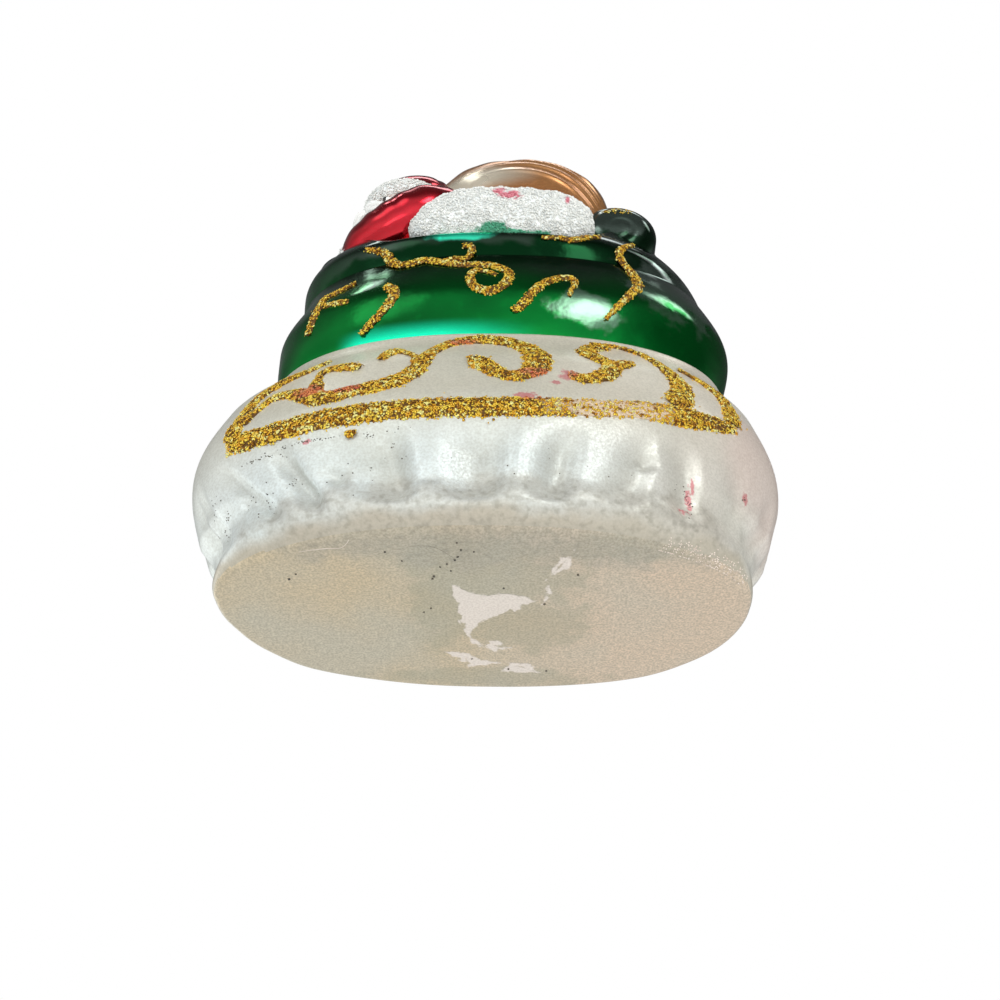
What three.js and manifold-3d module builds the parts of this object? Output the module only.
// A blown glass tree ornament: Santa rides in a green sleigh that stands on a frosted snow base.
// The glass is one thin hollow blow. It is shown in the sections that its painted areas make, with the
// glitter lines and the fur trims that lie on it, and the metal cap and spring wire that hang it.
//
// Millimetres, +Z up, the sleigh's near side towards -Y, its back towards +X, the origin at the middle
// of the flat foot. Santa faces the sleigh's prow, on the left, and turns a little to the near side.
import * as THREE from "three";
import { mergeVertices } from "three/addons/utils/BufferGeometryUtils.js";
import Module from "manifold-3d";

const wasm = await Module();
wasm.setup();

// Driving dimensions.

// The glass, and the clearance between neighbouring pieces.
const GLASS_WALL = 1.2;
const FIT_GAP = 0.3;

// Levels of the snow base. Each rises above the one before it, and has its reach to the left and to
// the right, its half depth, and how square its oval is.
const FOOT = { rise: 3, left: 50.2, right: 50.2, depth: 27.8, square: 2.36 };
const FOOT_EDGE_INSET = 2.1;
const WAIST = { rise: 4, left: 49.8, right: 49.8, depth: 27.4, square: 2.36 };
const LOW_BULGE = { rise: 5.5, left: 53.2, right: 53.2, depth: 28.6, square: 2.3 };
const BULGE = { rise: 12.5, left: 56, right: 56, depth: 29.4, square: 2.25 };
const SHOULDER = { rise: 13, left: 52.2, right: 53.4, depth: 26.2, square: 2.25 };
const SILL = { rise: 11, left: 42.8, right: 47.8, depth: 22.3, square: 2.25 };

// The soft drifts in the snow below the runner.
const DRIFT_COUNT = 20;
const DRIFT_DEPTH = 1.2;
const DRIFT_FIRST_ANGLE = 87;

// Levels of the sleigh: a round belly, a groove, and an upper band that rises at both ends.
const BELLY = { rise: 11, left: 42.9, right: 50, depth: 23.7, square: 2.3 };
const GROOVE = { rise: 12, left: 39.2, right: 46.4, depth: 22.1, square: 2.3 };
const BAND = { rise: 5, left: 39.2, right: 44.4, depth: 22.8, square: 2.3 };
const END_TOP = { rise: 11, left: 33.4, right: 38.4, depth: 18, square: 2.3 };

// The sleigh's rim: low beside Santa, and rising to the prow on the left and to the back on the right.
const RIM_ABOVE_BAND = 0.5;
const RIM_LEVEL_HALF_LENGTH = 19;
const RIM_RISE_LENGTH = 14.6;
const PROW_RISE = 8.5;
const BACK_RISE = 11.5;

// The curls along the tops of the prow and of the back.
const PROW_CURL = { radius: 6.2, halfLength: 11.5, overhang: 2.3, aboveRim: 2 };
const BACK_CURL = { radius: 8.6, halfLength: 14.5, overhang: -2, aboveRim: 13 };

// Santa: his middle plane and his forms, with heights above the rim.
const SANTA_Y = 1.5;
const SKIRT = { centre: [-5.5, -0.5, 5], radii: [21, 19.5, 15.5] };
const TORSO = { centre: [-12, SANTA_Y, 14.5], radii: [14, 13.5, 14] };
const HEAD = { centre: [-18.8, SANTA_Y + 0.5, 29.5], radii: [8.5, 8.5, 9.4] };
const BEARD_OFFSET = [-0.9, -0.9, -5.8];
const BEARD_RADII = [9.8, 10.2, 10.6];
const LOOK_ANGLE = 40;

// The face, with heights above the middle of the head.
const FACE_WINDOW = { up: 3.4, radius: 6.4 };
const NOSE = { up: 0.6, radius: 1.9 };
const MOUSTACHE = { up: -2.2, droop: 2.2, length: 6.2, ahead: 2.8, thickness: 2.5 };

// Each arm, from the middle of the torso: along the sleigh, outwards from the torso's side, and up.
const SHOULDER_JOINT = [4, -3, 4.4];
const UPPER_ARM = [-1, 1.6, 0.8];
const ELBOW = [-7, 1.6, -1];
const FOREARM = [-12.6, -2.4, 0.8];
const SLEEVE_RADIUS = 7;
const WRIST_RADIUS = 4.6;
const WRIST_SPREAD = 10;
const WRIST_BEHIND_CURL = 3.6;
const MITTEN_SINK = 1;
const CUFF_RADIUS = 5.3;
const CUFF_THICKNESS = 2.8;
const MITTEN_RADII = [4.2, 4, 3.4];

// The hat: its fur brim, and the red cone that bends over from the brim to its tip.
const BRIM_UP = 5.8;
const BRIM_RING_RADIUS = 7.1;
const BRIM_TUBE_RADIUS = 2.8;
const HAT_RADIUS = 8.2;
const HAT_TIP_RADIUS = 2.2;
const HAT_ROOT = [0, 0, -1];
const HAT_CROWN = [2.4, 0.8, 4];
const HAT_BEND = [7.4, 6.6, 6.4];
const HAT_TIP = [13.4, 15.5, -2.5];
const HAT_TAPER = [0.88, 1.02, 1.02, 0.88, 0.7, 0.52, 0.38];
const POMPOM_RADIUS = 4.2;

// Fur hem of the coat, hung over the rim of the sleigh at the near side and at the far side.
const HEM = { x: 2.6, aboveRim: 7.5, overhang: 2.4, radii: [20.6, 6.6, 8.2], square: 2.6 };

// Toy sack: full at the bottom, gathered in folds up to the neck of the glass. Heights above the rim.
const SACK_X = 7.8;
const SACK_Y = -0.5;
const SACK_BOTTOM = 1.5;
const SACK_FULL = 20.5;
const SACK_FULL_RADIUS = 20.4;
const SACK_TOP = 44.2;
const SACK_BOTTOM_SHARE = 0.84;
const SACK_DEPTH_RATIO = 0.9;
const SACK_FOLDS = 9;
const SACK_FOLD_DEPTH = 0.8;

// How the sack gathers: shares of the height from its full level to its top, and of its full radius.
const SACK_GATHER = [[0, 1], [0.42, 0.99], [0.72, 0.88], [1, 0.38]];

// Neck of the glass, the metal cap over it and the spring wire through the cap.
const NECK_X = 7;
const NECK_Y = 6;
const NECK_RADIUS = 4.6;
const NECK_BORE_RADIUS = 3.6;
const NECK_ABOVE_SACK = 4;
const NECK_BELOW_SACK = 6;
const CAP_WALL = 0.4;
const CAP_SKIRT = 4.2;
const CAP_CLEARANCE = 0.35;
const CAP_CRIMPS = 12;
const CAP_CRIMP_DEPTH = 0.6;
const WIRE_RADIUS = 0.45;
const WIRE_CLEARANCE = 0.3;
const EYE_INNER_RADIUS = 3.4;
const EYE_ABOVE_CAP = 1;
const WIRE_LEG_LENGTH = 7.5;

// Glitter lines: how wide each is, how thick, and its gap to the glass.
const RUNNER_LINE_WIDTH = 3.6;
const PANEL_LINE_WIDTH = 2.7;
const SLEIGH_LINE_WIDTH = 2;
const LINE_THICKNESS = 0.8;
const LINE_GAP = 0.5;
const LINE_STEP = 2.6;
const RUNNER_BELOW_BULGE = 3;

// How many points the rings have round the base, the sleigh, and the air inside each.
const BASE_POINTS = 3 * DRIFT_COUNT;
const BASE_AIR_POINTS = 28;
const SLEIGH_POINTS = 36;
const SLEIGH_AIR_POINTS = 24;

// Materials.

const finish = (color, roughness, metalness) =>
  new THREE.MeshStandardMaterial({ color, roughness, metalness });
const FROSTED_WHITE = finish(0xd4d3c6, 0.5, 0.2);
const GREEN_LACQUER = finish(0x067a34, 0.12, 0.85);
const RED_LACQUER = finish(0xb3121f, 0.12, 0.85);
const GOLD_LACQUER = finish(0xa9763f, 0.25, 0.9);
const SKIN_PAINT = finish(0xe9b795, 0.45, 0.1);
const WHITE_PAINT = finish(0xe8e8e4, 0.5, 0.1);
const WHITE_GLITTER = finish(0xe4e4e0, 0.7, 0.1);
const GOLD_GLITTER = finish(0xc08a1e, 0.4, 0.9);
const SILVERED_GLASS = finish(0xc9ccce, 0.08, 0.95);
const GILT_METAL = finish(0xc9a14a, 0.25, 1);
const STEEL_WIRE = finish(0xb9bcc0, 0.25, 1);

// Solids and booleans.

function solidOf(geometry) {
  const bare = geometry.index ? geometry.toNonIndexed() : geometry.clone();
  bare.deleteAttribute("normal");
  bare.deleteAttribute("uv");
  const merged = mergeVertices(bare, 1e-4);
  return new wasm.Manifold(
    new wasm.Mesh({
      numProp: 3,
      vertProperties: merged.attributes.position.array,
      triVerts: new Uint32Array(merged.index.array),
    }),
  );
}

function geometryOf(solid) {
  const mesh = solid.getMesh();
  const geometry = new THREE.BufferGeometry();
  geometry.setAttribute("position", new THREE.BufferAttribute(mesh.vertProperties, 3));
  geometry.setIndex(new THREE.BufferAttribute(mesh.triVerts, 1));
  geometry.computeVertexNormals();
  return geometry;
}

// What is left of a solid once its neighbours are cut out of it: the largest piece.
function cut(solid, ...tools) {
  const left = tools.reduce((rest, tool) => rest.subtract(tool), solid);
  return left.decompose().reduce((a, b) => (b.volume() > a.volume() ? b : a));
}

const joined = (...solids) => solids.reduce((a, b) => a.add(b));

// A closed solid through rings that have the same number of points, from the lowest ring up.
function ringSolid(rings) {
  const count = rings[0].length;
  const middleOf = (ring) =>
    ring.reduce((sum, p) => sum.add(p), new THREE.Vector3()).divideScalar(count);
  const points = rings.flat();
  const bottom = points.push(middleOf(rings[0])) - 1;
  const top = points.push(middleOf(rings.at(-1))) - 1;
  const last = (rings.length - 1) * count;
  const faces = [];
  for (let i = 0; i < count; i++) {
    const next = (i + 1) % count;
    faces.push(bottom, next, i);
    for (let low = 0; low < last; low += count) {
      const high = low + count;
      faces.push(low + i, low + next, high + next, low + i, high + next, high + i);
    }
    faces.push(top, last + i, last + next);
  }
  const geometry = new THREE.BufferGeometry().setFromPoints(points);
  geometry.setIndex(faces);
  return solidOf(geometry);
}

// An ellipsoid, or a fuller, squarer form where square is more than 2.
function ellipsoid({ centre, radii, square = 2 }, grow = 0, across = 16, up = 10) {
  const sphere = new THREE.SphereGeometry(1, across, up);
  sphere.rotateX(Math.PI / 2);
  const corners = sphere.attributes.position;
  const corner = new THREE.Vector3();
  for (let i = 0; i < corners.count; i++) {
    corner.fromBufferAttribute(corners, i);
    const size = corner.toArray().reduce((sum, c) => sum + Math.abs(c) ** square, 0);
    corner.multiplyScalar(size ** (-1 / square));
    corners.setXYZ(i, ...corner.toArray());
  }
  sphere.scale(...radii.map((radius) => radius + grow));
  sphere.translate(...centre);
  return solidOf(sphere);
}

// A round tube that follows a path and changes its radius along it.
function taperedTube(path, radii, grow = 0, around = 12) {
  const frames = path.computeFrenetFrames(radii.length - 1);
  const rings = radii.map((radius, r) => {
    const centre = path.getPointAt(r / (radii.length - 1));
    return Array.from({ length: around }, (_, i) => {
      const angle = (i / around) * 2 * Math.PI;
      return centre
        .clone()
        .addScaledVector(frames.normals[r], Math.cos(angle) * (radius + grow))
        .addScaledVector(frames.binormals[r], Math.sin(angle) * (radius + grow));
    });
  });
  return ringSolid(rings);
}

const pathThrough = (points) =>
  new THREE.CatmullRomCurve3(points.map((p) => new THREE.Vector3(...p)), false, "centripetal");

const plus = (a, b) => a.map((value, i) => value + b[i]);

// Oval sections of the base and the sleigh.

// A value that runs smoothly through its knots without overshooting them.
function smoothThrough(places, values) {
  const slopes = places
    .slice(1)
    .map((place, i) => (values[i + 1] - values[i]) / (place - places[i]));
  const tangents = places.map((_, i) => {
    if (i === 0) return slopes[0];
    if (i === places.length - 1) return slopes[i - 1];
    const product = slopes[i - 1] * slopes[i];
    return product <= 0 ? 0 : (2 * product) / (slopes[i - 1] + slopes[i]);
  });
  return (place) => {
    let i = places.length - 2;
    while (i > 0 && place < places[i]) i--;
    const span = places[i + 1] - places[i];
    const s = THREE.MathUtils.clamp((place - places[i]) / span, 0, 1);
    const rise = (values[i + 1] - values[i]) * s * s * (3 - 2 * s);
    const bend = s * (1 - s) * (1 - s) * tangents[i] - s * s * (1 - s) * tangents[i + 1];
    return values[i] + rise + span * bend;
  };
}

const LEVELS = [FOOT, WAIST, LOW_BULGE, BULGE, SHOULDER, SILL, BELLY, GROOVE, BAND, END_TOP];
const HEIGHTS = LEVELS.map((_, i) => LEVELS.slice(0, i + 1).reduce((sum, level) => sum + level.rise, 0));
const heightOf = (level) => HEIGHTS[LEVELS.indexOf(level)];
const [leftReach, rightReach, halfDepth, squareness] = ["left", "right", "depth", "square"].map(
  (key) => smoothThrough(HEIGHTS, LEVELS.map((level) => level[key])),
);
const RIM = heightOf(BAND) + RIM_ABOVE_BAND;

const powered = (value, power) => Math.sign(value) * Math.abs(value) ** power;
const eased = (value) => THREE.MathUtils.smoothstep(value, 0, 1);
const middleAt = (height) => (rightReach(height) - leftReach(height)) / 2;
const halfLengthAt = (height) => (rightReach(height) + leftReach(height)) / 2;

// How far the snow drifts draw the surface in, by the oval's angle and the height.
function driftAt(angle, height) {
  const low = eased((height - heightOf(FOOT)) / WAIST.rise);
  const high = eased((heightOf(BULGE) - height) / (BULGE.rise / 2));
  const turn = (DRIFT_COUNT / 2) * (angle - THREE.MathUtils.degToRad(DRIFT_FIRST_ANGLE));
  return DRIFT_DEPTH * low * high * (1 - Math.abs(Math.sin(turn)));
}

// One oval ring of the outside at a height, made larger by grow.
function ovalRing(height, count, grow = 0, drifts = false) {
  const first = THREE.MathUtils.degToRad(DRIFT_FIRST_ANGLE);
  const power = 2 / squareness(height);
  return Array.from({ length: count }, (_, i) => {
    const angle = first + (i / count) * 2 * Math.PI;
    const size = grow - (drifts ? driftAt(angle, height) : 0);
    const x = middleAt(height) + (halfLengthAt(height) + size) * powered(Math.cos(angle), power);
    const y = (halfDepth(height) + size) * powered(Math.sin(angle), power);
    return new THREE.Vector3(x, y, height);
  });
}

// The point on the outside at a share of the reach and a height, on the near (-1) or far (1) side.
function surfacePoint(share, height, side) {
  const along = Math.min(Math.abs(share), 0.999);
  const across = (1 - along ** squareness(height)) ** (1 / squareness(height));
  return new THREE.Vector3(
    middleAt(height) + halfLengthAt(height) * share,
    side * halfDepth(height) * across,
    height,
  );
}

function surfaceNormal(share, height, side) {
  const step = 0.002;
  const rise = 0.05;
  const along = surfacePoint(share + step, height, side).sub(surfacePoint(share - step, height, side));
  const up = surfacePoint(share, height + rise, side).sub(surfacePoint(share, height - rise, side));
  return along.cross(up).multiplyScalar(-side).normalize();
}

// Snow base.

function snowBase() {
  const foot = ovalRing(heightOf(FOOT), BASE_POINTS, -FOOT_EDGE_INSET);
  const edge = ovalRing(heightOf(FOOT), BASE_POINTS, -FOOT_EDGE_INSET / 3);
  const edgeHeight = heightOf(FOOT) / 3;
  const between = (low, high, share) => heightOf(low) + (heightOf(high) - heightOf(low)) * share;
  const heights = [
    heightOf(FOOT),
    heightOf(WAIST),
    heightOf(LOW_BULGE),
    between(LOW_BULGE, BULGE, 1 / 3),
    between(LOW_BULGE, BULGE, 2 / 3),
    heightOf(BULGE),
    between(BULGE, SHOULDER, 1 / 2),
    heightOf(SHOULDER),
    between(SHOULDER, SILL, 1 / 2),
    heightOf(SILL),
  ];
  return ringSolid([
    foot.map((p) => p.setZ(0)),
    edge.map((p) => p.setZ(edgeHeight)),
    ...heights.map((height) => ovalRing(height, BASE_POINTS, 0, true)),
  ]);
}

// The air inside the base, up into the sleigh.
function baseHollow() {
  const floor = ovalRing(heightOf(FOOT), BASE_AIR_POINTS, -GLASS_WALL - FOOT_EDGE_INSET);
  const belowSill = [WAIST, LOW_BULGE, BULGE, SHOULDER].map((level) =>
    ovalRing(heightOf(level), BASE_AIR_POINTS, -GLASS_WALL - DRIFT_DEPTH / 2),
  );
  return ringSolid([
    floor.map((p) => p.setZ(GLASS_WALL)),
    ...belowSill,
    ovalRing(heightOf(SILL), BASE_AIR_POINTS, -GLASS_WALL),
    ovalRing(heightOf(SILL) + GLASS_WALL, BASE_AIR_POINTS, -2 * GLASS_WALL),
  ]);
}

// Sleigh.

const curlAt = {
  prow: {
    ...PROW_CURL,
    x: -(END_TOP.left + PROW_CURL.overhang - PROW_CURL.radius),
    z: RIM + PROW_CURL.aboveRim,
  },
  back: {
    ...BACK_CURL,
    x: END_TOP.right + BACK_CURL.overhang - BACK_CURL.radius,
    z: RIM + BACK_CURL.aboveRim,
  },
};

// A roll along Y with domed ends.
function curlForm({ x, z, radius, halfLength }, grow = 0) {
  const dome = radius / 2;
  const near = [0.001, 0.55, 0.85, 1].map(
    (share) =>
      new THREE.Vector2(
        share * (radius + grow),
        dome * (1 - Math.sqrt(1 - share * share)) - halfLength - grow,
      ),
  );
  near[0].x = 0;
  const far = near.map((p) => new THREE.Vector2(p.x, -p.y)).reverse();
  const roll = new THREE.LatheGeometry([...near, ...far], 14);
  roll.translate(x, 0, z);
  return solidOf(roll);
}

// The sleigh's rim, which is level beside Santa and sweeps up towards both ends: x and height.
function rimLine(reach) {
  const steps = [0, 0.2, 0.4, 0.6, 0.8, 1];
  const sweep = (towards, rise) =>
    steps.map((share) => [
      towards * (RIM_LEVEL_HALF_LENGTH + RIM_RISE_LENGTH * share),
      RIM + rise * eased(share),
    ]);
  return [
    [-reach, RIM + PROW_RISE],
    ...sweep(-1, PROW_RISE).reverse(),
    ...sweep(1, BACK_RISE),
    [reach, RIM + BACK_RISE],
  ];
}

function spaceAboveRim(grow) {
  const reach = BELLY.left + BELLY.right;
  const ceiling = heightOf(END_TOP) + END_TOP.rise;
  const outline = [
    [-reach, ceiling],
    ...rimLine(reach).map(([x, height]) => [x, height + grow]),
    [reach, ceiling],
  ];
  const shape = new THREE.Shape(outline.map((corner) => new THREE.Vector2(...corner)));
  const block = new THREE.ExtrudeGeometry(shape, { depth: 2 * reach, bevelEnabled: false });
  block.translate(0, 0, -reach);
  block.rotateX(Math.PI / 2);
  return solidOf(block);
}

function sleighForm(grow = 0, around = SLEIGH_POINTS) {
  const between = (low, high) => (heightOf(low) + heightOf(high)) / 2;
  const heights = [
    heightOf(SILL),
    between(SILL, BELLY),
    heightOf(BELLY),
    between(BELLY, GROOVE),
    heightOf(GROOVE),
    heightOf(BAND),
    between(BAND, END_TOP),
    heightOf(END_TOP),
  ];
  const body = ringSolid(heights.map((height) => ovalRing(height, around, grow)));
  return joined(
    body.subtract(spaceAboveRim(grow)),
    curlForm(curlAt.prow, grow),
    curlForm(curlAt.back, grow),
  );
}

// Toy sack.

function sackForm(grow = 0, foldDepth = SACK_FOLD_DEPTH, around = 3 * SACK_FOLDS) {
  const bottom = RIM + SACK_BOTTOM;
  const full = RIM + SACK_FULL;
  const top = RIM + SACK_TOP;
  const gatherHeight = top - full;
  const radiusAt = smoothThrough(
    [bottom, ...SACK_GATHER.map(([rise]) => full + gatherHeight * rise)],
    [SACK_BOTTOM_SHARE, ...SACK_GATHER.map(([, size]) => size)].map((size) => size * SACK_FULL_RADIUS),
  );
  const rows = 8;
  return ringSolid(
    Array.from({ length: rows + 1 }, (_, row) => {
      const share = Math.sin(((row / rows) * Math.PI) / 2);
      const height = bottom + (top + grow - bottom) * share;
      const gather = eased((height - full) / gatherHeight) ** 2;
      return Array.from({ length: around }, (_, i) => {
        const angle = (i / around) * 2 * Math.PI;
        const radius = radiusAt(height) + grow + foldDepth * gather * Math.cos(SACK_FOLDS * angle);
        return new THREE.Vector3(
          SACK_X + (NECK_X - SACK_X) * gather + radius * Math.cos(angle),
          SACK_Y + (NECK_Y - SACK_Y) * gather + SACK_DEPTH_RATIO * radius * Math.sin(angle),
          height,
        );
      });
    }),
  );
}

// Santa.

const onRim = (form) => ({ ...form, centre: plus(form.centre, [0, 0, RIM]) });
const skirtForm = (grow = 0) => ellipsoid(onRim(SKIRT), grow, 20, 10);
const torsoForm = (grow = 0) => ellipsoid(onRim(TORSO), grow);

const headCentre = plus(HEAD.centre, [0, 0, RIM]);
const lookAngle = THREE.MathUtils.degToRad(LOOK_ANGLE);
const look = [-Math.cos(lookAngle), -Math.sin(lookAngle), 0];
const toHisRight = [look[1], -look[0], 0];

// A point on the face: ahead along the look, to Santa's right, and up, from the head's centre.
const onFace = (ahead, right, up) =>
  plus(headCentre, [0, 1, 2].map((i) => look[i] * ahead + toHisRight[i] * right + (i === 2 ? up : 0)));

function headForm(grow = 0) {
  const head = ellipsoid({ ...HEAD, centre: headCentre }, grow, 16, 10);
  const nose = ellipsoid(
    { centre: onFace(HEAD.radii[0], 0, NOSE.up), radii: [NOSE.radius, NOSE.radius, NOSE.radius] },
    grow,
    10,
    6,
  );
  return joined(head, nose);
}

// The moustache lies on the beard, and curves back with it on either side of the nose.
function moustacheForm() {
  const { up, droop, length, thickness } = MOUSTACHE;
  const ahead = HEAD.radii[0] + MOUSTACHE.ahead;
  const wings = [-1, 1].map((hand) => {
    const path = pathThrough([
      onFace(ahead, 0, up),
      onFace(ahead - droop / 4, hand * length * 0.55, up - droop / 4),
      onFace(ahead - droop, hand * length, up - droop),
    ]);
    return taperedTube(path, [0.8, 1, 0.9, 0.3].map((share) => (share * thickness) / 2), 0, 8);
  });
  return joined(...wings);
}

const beardForm = (grow = 0) =>
  ellipsoid({ centre: plus(headCentre, BEARD_OFFSET), radii: BEARD_RADII }, grow, 18, 10);

// The opening in the beard that shows the face.
const faceWindow = () =>
  ellipsoid(
    {
      centre: onFace(HEAD.radii[0], 0, FACE_WINDOW.up),
      radii: [FACE_WINDOW.radius, FACE_WINDOW.radius, FACE_WINDOW.radius],
    },
    0,
    14,
    8,
  );

// Each arm bends forward over the rim, and its mitten rests on the prow's curl.
function sleevePath(hand) {
  const torso = onRim(TORSO).centre;
  const fromTorso = ([along, out, up]) =>
    plus(torso, [along, hand * (TORSO.radii[1] + out), up]);
  const wristZ = curlAt.prow.z + PROW_CURL.radius + MITTEN_RADII[2] - MITTEN_SINK;
  const [forearmX, forearmY] = fromTorso(FOREARM);
  return pathThrough([
    fromTorso(SHOULDER_JOINT),
    fromTorso(UPPER_ARM),
    fromTorso(ELBOW),
    [forearmX, forearmY, wristZ + FOREARM[2]],
    [curlAt.prow.x + WRIST_BEHIND_CURL, torso[1] + hand * WRIST_SPREAD, wristZ],
  ]);
}

function sleeveForm(hand, grow = 0) {
  const radii = [0, 0.2, 0.4, 0.6, 0.8, 1].map((share) =>
    THREE.MathUtils.lerp(SLEEVE_RADIUS, WRIST_RADIUS, share * share),
  );
  return taperedTube(sleevePath(hand), radii, grow);
}

function cuffForm(hand, grow = 0) {
  const wrist = sleevePath(hand).getPointAt(1);
  const along = sleevePath(hand).getTangentAt(1);
  const path = new THREE.LineCurve3(wrist, wrist.clone().addScaledVector(along, CUFF_THICKNESS));
  return taperedTube(path, [0.82, 1, 1, 0.82].map((share) => CUFF_RADIUS * share), grow);
}

function mittenForm(hand) {
  const along = sleevePath(hand).getTangentAt(1);
  const centre = sleevePath(hand)
    .getPointAt(1)
    .addScaledVector(along, CUFF_THICKNESS + MITTEN_RADII[1] * 0.6)
    .toArray();
  const palm = ellipsoid({ centre, radii: MITTEN_RADII }, 0, 14, 8);
  const thumbRadius = MITTEN_RADII[2] / 2;
  const thumb = ellipsoid(
    {
      centre: plus(centre, [-MITTEN_RADII[0] * 0.5, hand * thumbRadius, MITTEN_RADII[2] * 0.6]),
      radii: [thumbRadius * 1.5, thumbRadius, thumbRadius],
    },
    0,
    8,
    6,
  );
  return joined(palm, thumb);
}

const brimCentre = plus(headCentre, [0, 0, BRIM_UP]);

function brimForm(grow = 0) {
  const brim = new THREE.TorusGeometry(BRIM_RING_RADIUS, BRIM_TUBE_RADIUS + grow, 8, 18);
  brim.translate(...brimCentre);
  return solidOf(brim);
}

// The hat leans back over the far shoulder and ends in its pompom beside the sack.
const hatTip = plus(brimCentre, HAT_TIP);

function hatForm(grow = 0) {
  const path = pathThrough(
    [HAT_ROOT, HAT_CROWN, HAT_BEND, HAT_TIP].map((point) => plus(brimCentre, point)),
  );
  const radii = HAT_TAPER.map((share) => Math.max(share * HAT_RADIUS, HAT_TIP_RADIUS));
  return taperedTube(path, [...radii, HAT_TIP_RADIUS], grow, 14);
}

const pompomForm = (grow = 0) =>
  ellipsoid(
    {
      centre: plus(hatTip, [0, 0, -POMPOM_RADIUS * 0.7]),
      radii: [POMPOM_RADIUS, POMPOM_RADIUS, POMPOM_RADIUS],
    },
    grow,
    12,
    8,
  );

// The fur hem at the near (-1) or far (1) side.
function hemForm(side, grow = 0) {
  const out = halfDepth(RIM) + HEM.overhang - HEM.radii[1];
  return ellipsoid({ ...HEM, centre: [HEM.x, side * out, RIM + HEM.aboveRim] }, grow);
}

// Neck, cap and wire.

const sackTop = RIM + SACK_TOP;
const neckTop = sackTop + NECK_ABOVE_SACK;
const capTop = neckTop + FIT_GAP + CAP_WALL;
const legSpread = NECK_BORE_RADIUS - WIRE_RADIUS - WIRE_CLEARANCE;
const atNeck = (solid) => solid.translate([NECK_X, NECK_Y, 0]);

function column(radius, low, high, around = 20) {
  const rod = new THREE.CylinderGeometry(radius, radius, high - low, around);
  rod.rotateX(Math.PI / 2);
  rod.translate(0, 0, (low + high) / 2);
  return solidOf(rod);
}

const neckForm = (grow = 0) =>
  atNeck(column(NECK_RADIUS + grow, sackTop - NECK_BELOW_SACK - grow, neckTop));

const neckBore = () => atNeck(column(NECK_BORE_RADIUS, sackTop - SACK_FULL / 2, neckTop + GLASS_WALL));

// A ring whose points lie in turn further out and further in.
function crimpedRing(outRadius, inRadius, height) {
  return Array.from({ length: 2 * CAP_CRIMPS }, (_, i) => {
    const angle = (i / CAP_CRIMPS) * Math.PI;
    const radius = i % 2 ? inRadius : outRadius;
    return new THREE.Vector3(radius * Math.cos(angle), radius * Math.sin(angle), height);
  });
}

// A thin cup with a crimped hem, and two slots in its top for the wire.
function capForm() {
  const inside = NECK_RADIUS + CAP_CLEARANCE;
  const out = inside + CAP_WALL;
  const hem = capTop - CAP_SKIRT;
  const flareTop = hem + CAP_SKIRT / 3;
  const round = (radius, height) => crimpedRing(radius, radius, height);
  const outer = ringSolid([
    crimpedRing(out + CAP_CRIMP_DEPTH, out, hem),
    crimpedRing(out + CAP_CRIMP_DEPTH / 3, out, flareTop),
    round(out, capTop - CAP_WALL),
    round(out - CAP_WALL, capTop),
  ]);
  const inner = ringSolid([
    crimpedRing(inside + CAP_CRIMP_DEPTH, inside, hem - CAP_WALL),
    crimpedRing(inside + CAP_CRIMP_DEPTH / 3, inside, flareTop),
    round(inside, capTop - CAP_WALL),
  ]);
  const slots = [-1, 1].map((hand) =>
    column(WIRE_RADIUS + WIRE_CLEARANCE, capTop - 2 * CAP_WALL, capTop + CAP_WALL, 10).translate([
      hand * legSpread,
      0,
      0,
    ]),
  );
  return atNeck(cut(outer, inner, ...slots));
}

// One spring wire: up a leg in the neck, through the cap, round the eye, and down the other leg.
function wireForm() {
  const eyeRadius = EYE_INNER_RADIUS + WIRE_RADIUS;
  const eyeZ = capTop + WIRE_RADIUS + eyeRadius + EYE_ABOVE_CAP;
  const half = [
    [legSpread, 0, capTop - WIRE_LEG_LENGTH],
    [legSpread, 0, capTop - WIRE_LEG_LENGTH / 2],
    [legSpread, 0, capTop + WIRE_RADIUS],
    ...[-30, 0, 30, 60].map((degrees) => {
      const angle = THREE.MathUtils.degToRad(degrees);
      return [eyeRadius * Math.cos(angle), 0, eyeZ + eyeRadius * Math.sin(angle)];
    }),
  ];
  const rest = half.map(([x, y, z]) => [-x, y, z]).reverse();
  const path = pathThrough([...half, [0, 0, eyeZ + eyeRadius], ...rest]);
  const section = new THREE.Shape().absarc(0, 0, WIRE_RADIUS, 0, 2 * Math.PI);
  const wire = new THREE.ExtrudeGeometry(section, { steps: 36, curveSegments: 3, extrudePath: path });
  return atNeck(solidOf(wire));
}

// Glitter lines.

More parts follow.
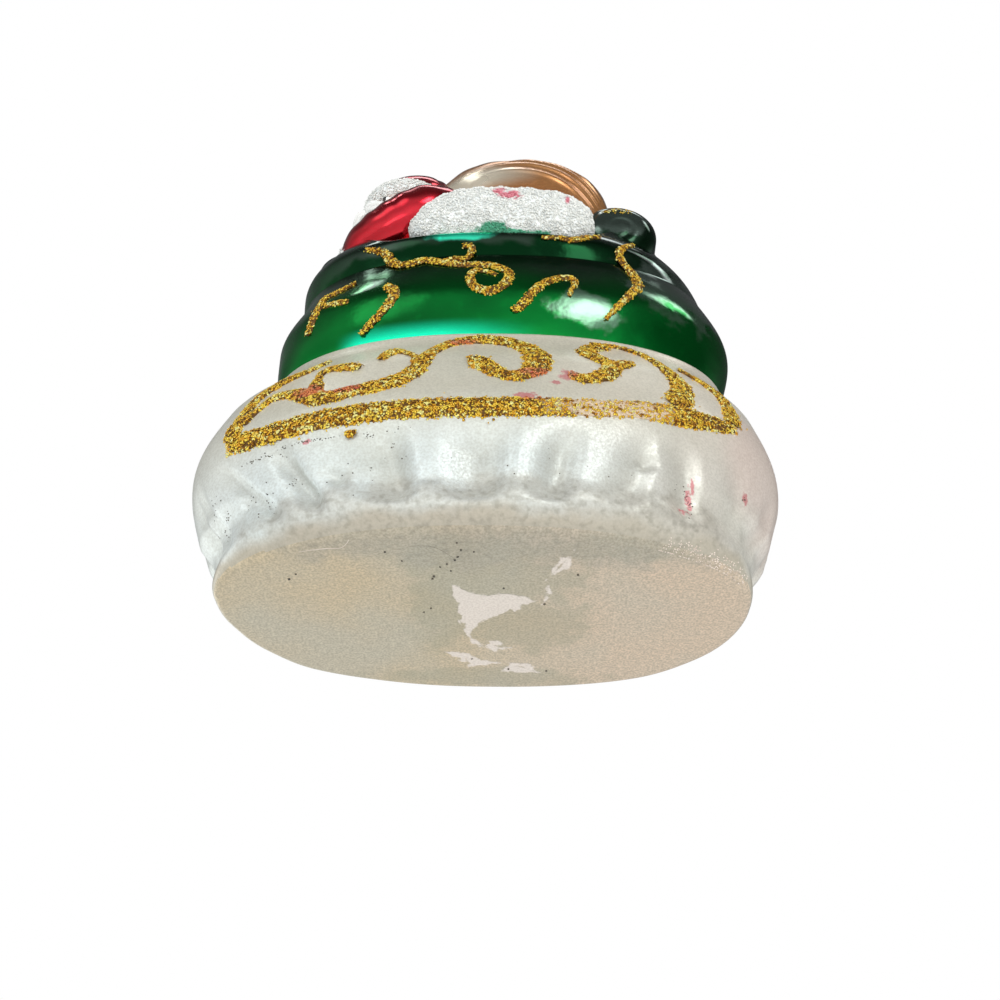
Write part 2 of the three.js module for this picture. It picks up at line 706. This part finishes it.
// The runner and its scrolls on the white panel, then the scrolls on the green. Each point is a share
// of the reach to the left or right, and a share of the height from the lower level to the upper one.
const PANEL_LINES = {
  runner: {
    width: RUNNER_LINE_WIDTH,
    routes: [
      [
        [-0.62, 0.8], [-0.69, 0.67], [-0.77, 0.57], [-0.82, 0.37], [-0.84, 0.18], [-0.81, 0.05],
        [-0.71, 0.02], [-0.43, 0.05], [-0.07, 0.07], [0.34, 0.1], [0.64, 0.17], [0.82, 0.24],
      ],
      [[0.82, 0.24], [0.85, 0.44], [0.81, 0.64], [0.73, 0.81]],
      [[0.63, 0.19], [0.67, 0.47], [0.65, 0.74], [0.58, 0.87], [0.48, 0.9]],
    ],
  },
  s_scroll: {
    width: PANEL_LINE_WIDTH,
    routes: [
      [
        [-0.77, 0.27], [-0.71, 0.41], [-0.64, 0.37], [-0.57, 0.26], [-0.47, 0.26], [-0.33, 0.33],
        [-0.24, 0.48], [-0.21, 0.68], [-0.15, 0.87], [-0.04, 0.91], [0.09, 0.88], [0.18, 0.74],
        [0.19, 0.56], [0.14, 0.41], [0.05, 0.4], [-0.01, 0.52], [-0.05, 0.59],
      ],
      [[-0.57, 0.27], [-0.58, 0.5], [-0.55, 0.61], [-0.49, 0.62], [-0.43, 0.56]],
      [[-0.22, 0.61], [-0.3, 0.73], [-0.37, 0.8], [-0.39, 0.67]],
    ],
  },
  three_scroll: {
    width: PANEL_LINE_WIDTH,
    routes: [
      [
        [0.42, 0.89], [0.35, 0.85], [0.33, 0.76], [0.4, 0.7], [0.42, 0.59], [0.39, 0.44],
        [0.32, 0.37], [0.27, 0.42],
      ],
      [[0.42, 0.59], [0.47, 0.67], [0.52, 0.72]],
    ],
  },
};
const SLEIGH_LINES = {
  f_scroll: {
    width: SLEIGH_LINE_WIDTH,
    routes: [
      [[-0.84, 0.25], [-0.82, 0.42], [-0.8, 0.57], [-0.76, 0.62], [-0.67, 0.61]],
      [[-0.81, 0.48], [-0.75, 0.48], [-0.69, 0.45]],
    ],
  },
  hook_scroll: {
    width: SLEIGH_LINE_WIDTH,
    routes: [[[-0.6, 0.1], [-0.54, 0.21], [-0.49, 0.34], [-0.48, 0.44], [-0.53, 0.51]]],
  },
  rim_scroll: {
    width: SLEIGH_LINE_WIDTH,
    routes: [
      [
        [-0.67, 0.95], [-0.6, 0.91], [-0.54, 0.81], [-0.46, 0.75], [-0.36, 0.76], [-0.22, 0.7],
        [-0.08, 0.67], [0.01, 0.6], [0.02, 0.48], [-0.04, 0.38], [-0.11, 0.39], [-0.15, 0.49],
        [-0.12, 0.58], [-0.05, 0.55],
      ],
      [[-0.3, 0.74], [-0.22, 0.75], [-0.16, 0.84], [-0.21, 0.9]],
    ],
  },
  arch_scroll: {
    width: SLEIGH_LINE_WIDTH,
    routes: [
      [
        [0.04, 0.19], [0.1, 0.31], [0.16, 0.45], [0.24, 0.53], [0.29, 0.5], [0.28, 0.39],
        [0.26, 0.32],
      ],
    ],
  },
  wave_scroll: {
    width: SLEIGH_LINE_WIDTH,
    routes: [[[0.42, 0.2], [0.49, 0.34], [0.56, 0.49], [0.59, 0.65], [0.56, 0.8], [0.56, 0.92]]],
  },
  band_scroll: {
    width: SLEIGH_LINE_WIDTH,
    routes: [[[0.15, 0.91], [0.24, 0.93], [0.32, 0.93], [0.41, 0.94]]],
  },
};

// A low bead that follows a route over the glass, at a small gap from it.
function glitterBead(route, width, side, low, high) {
  const path = pathThrough(
    route.map(([share, rise]) => {
      const height = THREE.MathUtils.lerp(low, high, rise);
      return [share * halfLengthAt(height), 0, height];
    }),
  );
  const steps = Math.max(3, Math.round(path.getLength() / LINE_STEP));
  const onSurface = (point) => [point.x / halfLengthAt(point.z), point.z, side];
  const rings = Array.from({ length: steps + 1 }, (_, i) => {
    const at = path.getPointAt(i / steps);
    const ahead = at.clone().addScaledVector(path.getTangentAt(i / steps), 0.1);
    const middle = surfacePoint(...onSurface(at));
    const along = surfacePoint(...onSurface(ahead)).sub(middle);
    const across = along.cross(surfaceNormal(...onSurface(at))).normalize();
    const half = (i === 0 || i === steps ? 0.35 : 0.5) * width;
    const section = [[-1, 0], [-0.5, 1], [0.5, 1], [1, 0]];
    return section.map(([offset, lift]) => {
      const sideways = middle.clone().addScaledVector(across, offset * half);
      const place = [(sideways.x - middleAt(sideways.z)) / halfLengthAt(sideways.z), sideways.z, side];
      return surfacePoint(...place).addScaledVector(
        surfaceNormal(...place),
        LINE_GAP + lift * LINE_THICKNESS,
      );
    });
  });
  return ringSolid(rings);
}

const glitterLine = ({ width, routes }, side, low, high) =>
  joined(...routes.map((route) => glitterBead(route, width, side, low, high)));

// Assembly.

const ornament = new THREE.Group();

function place(name, solid, material) {
  const mesh = new THREE.Mesh(geometryOf(solid), material);
  mesh.name = name;
  ornament.add(mesh);
}

const hollow = joined(
  baseHollow(),
  sleighForm(-GLASS_WALL, SLEIGH_AIR_POINTS),
  skirtForm(-GLASS_WALL),
  torsoForm(-GLASS_WALL),
  sackForm(-GLASS_WALL, 0, 12),
  beardForm(-GLASS_WALL),
  ellipsoid({ ...HEAD, centre: headCentre }, -GLASS_WALL, 12, 8),
  neckBore(),
);

const sleighSpace = sleighForm(FIT_GAP);
const skirtSpace = skirtForm(FIT_GAP);
const torsoSpace = torsoForm(FIT_GAP);
const beardSpace = beardForm(FIT_GAP);
const headSpace = headForm(FIT_GAP);
const brimSpace = brimForm(FIT_GAP);
const sackSpace = sackForm(FIT_GAP);
const pompomSpace = pompomForm(FIT_GAP);

place("snow_base", cut(snowBase(), hollow), FROSTED_WHITE);
place("sleigh_body", cut(sleighForm(), hollow), GREEN_LACQUER);

const SIDES = { near: -1, far: 1 };
for (const [which, side] of Object.entries(SIDES))
  place(`fur_hem_${which}`, cut(hemForm(side), sleighSpace, skirtSpace), WHITE_GLITTER);
const hemSpace = joined(hemForm(-1, FIT_GAP), hemForm(1, FIT_GAP));

place("coat_skirt", cut(skirtForm(), hollow, sleighSpace), RED_LACQUER);
place("coat_body", cut(torsoForm(), hollow, skirtSpace, sleighSpace, hemSpace), RED_LACQUER);
const coatSpace = joined(skirtSpace, torsoSpace);

place("head", cut(headForm(), hollow, coatSpace), SKIN_PAINT);
place("beard", cut(beardForm(), hollow, coatSpace, headSpace, faceWindow()), WHITE_PAINT);
place("moustache", cut(moustacheForm(), headSpace, beardSpace), WHITE_PAINT);
place("hat_brim", cut(brimForm(), headSpace, beardSpace, coatSpace, sackSpace), WHITE_GLITTER);

for (const [which, side] of Object.entries(SIDES)) {
  const sleeve = cut(sleeveForm(side), coatSpace, sleighSpace, beardSpace, headSpace, hemSpace);
  place(`sleeve_${which}`, sleeve, RED_LACQUER);
  const cuff = cut(cuffForm(side), sleeveForm(side, FIT_GAP), coatSpace, sleighSpace, beardSpace);
  place(`cuff_${which}`, cuff, WHITE_GLITTER);
  const mitten = cut(mittenForm(side), cuffForm(side, FIT_GAP), coatSpace, sleighSpace, beardSpace);
  place(`mitten_${which}`, mitten, WHITE_PAINT);
}
const sleeveSpace = joined(sleeveForm(-1, FIT_GAP), sleeveForm(1, FIT_GAP));

const sack = cut(
  sackForm(),
  hollow,
  sleighSpace,
  coatSpace,
  hemSpace,
  sleeveSpace,
  headSpace,
  beardSpace,
  neckForm(FIT_GAP),
);
place("toy_sack", sack, GOLD_LACQUER);
place("glass_neck", cut(neckForm(), neckBore()), SILVERED_GLASS);
place("pompom", cut(pompomForm(), sackSpace, coatSpace, sleeveSpace), WHITE_GLITTER);
const hat = cut(
  hatForm(),
  headSpace,
  brimSpace,
  beardSpace,
  sackSpace,
  coatSpace,
  sleeveSpace,
  pompomSpace,
);
place("hat", hat, RED_LACQUER);

const panelLow = heightOf(BULGE) - RUNNER_BELOW_BULGE;
for (const [which, side] of Object.entries(SIDES)) {
  for (const [name, line] of Object.entries(PANEL_LINES))
    place(`${name}_${which}`, glitterLine(line, side, panelLow, heightOf(SILL)), GOLD_GLITTER);
  for (const [name, line] of Object.entries(SLEIGH_LINES))
    place(`${name}_${which}`, glitterLine(line, side, heightOf(SILL), heightOf(BAND)), GOLD_GLITTER);
}

place("metal_cap", capForm(), GILT_METAL);
place("hanger_wire", wireForm(), STEEL_WIRE);

export default ornament;
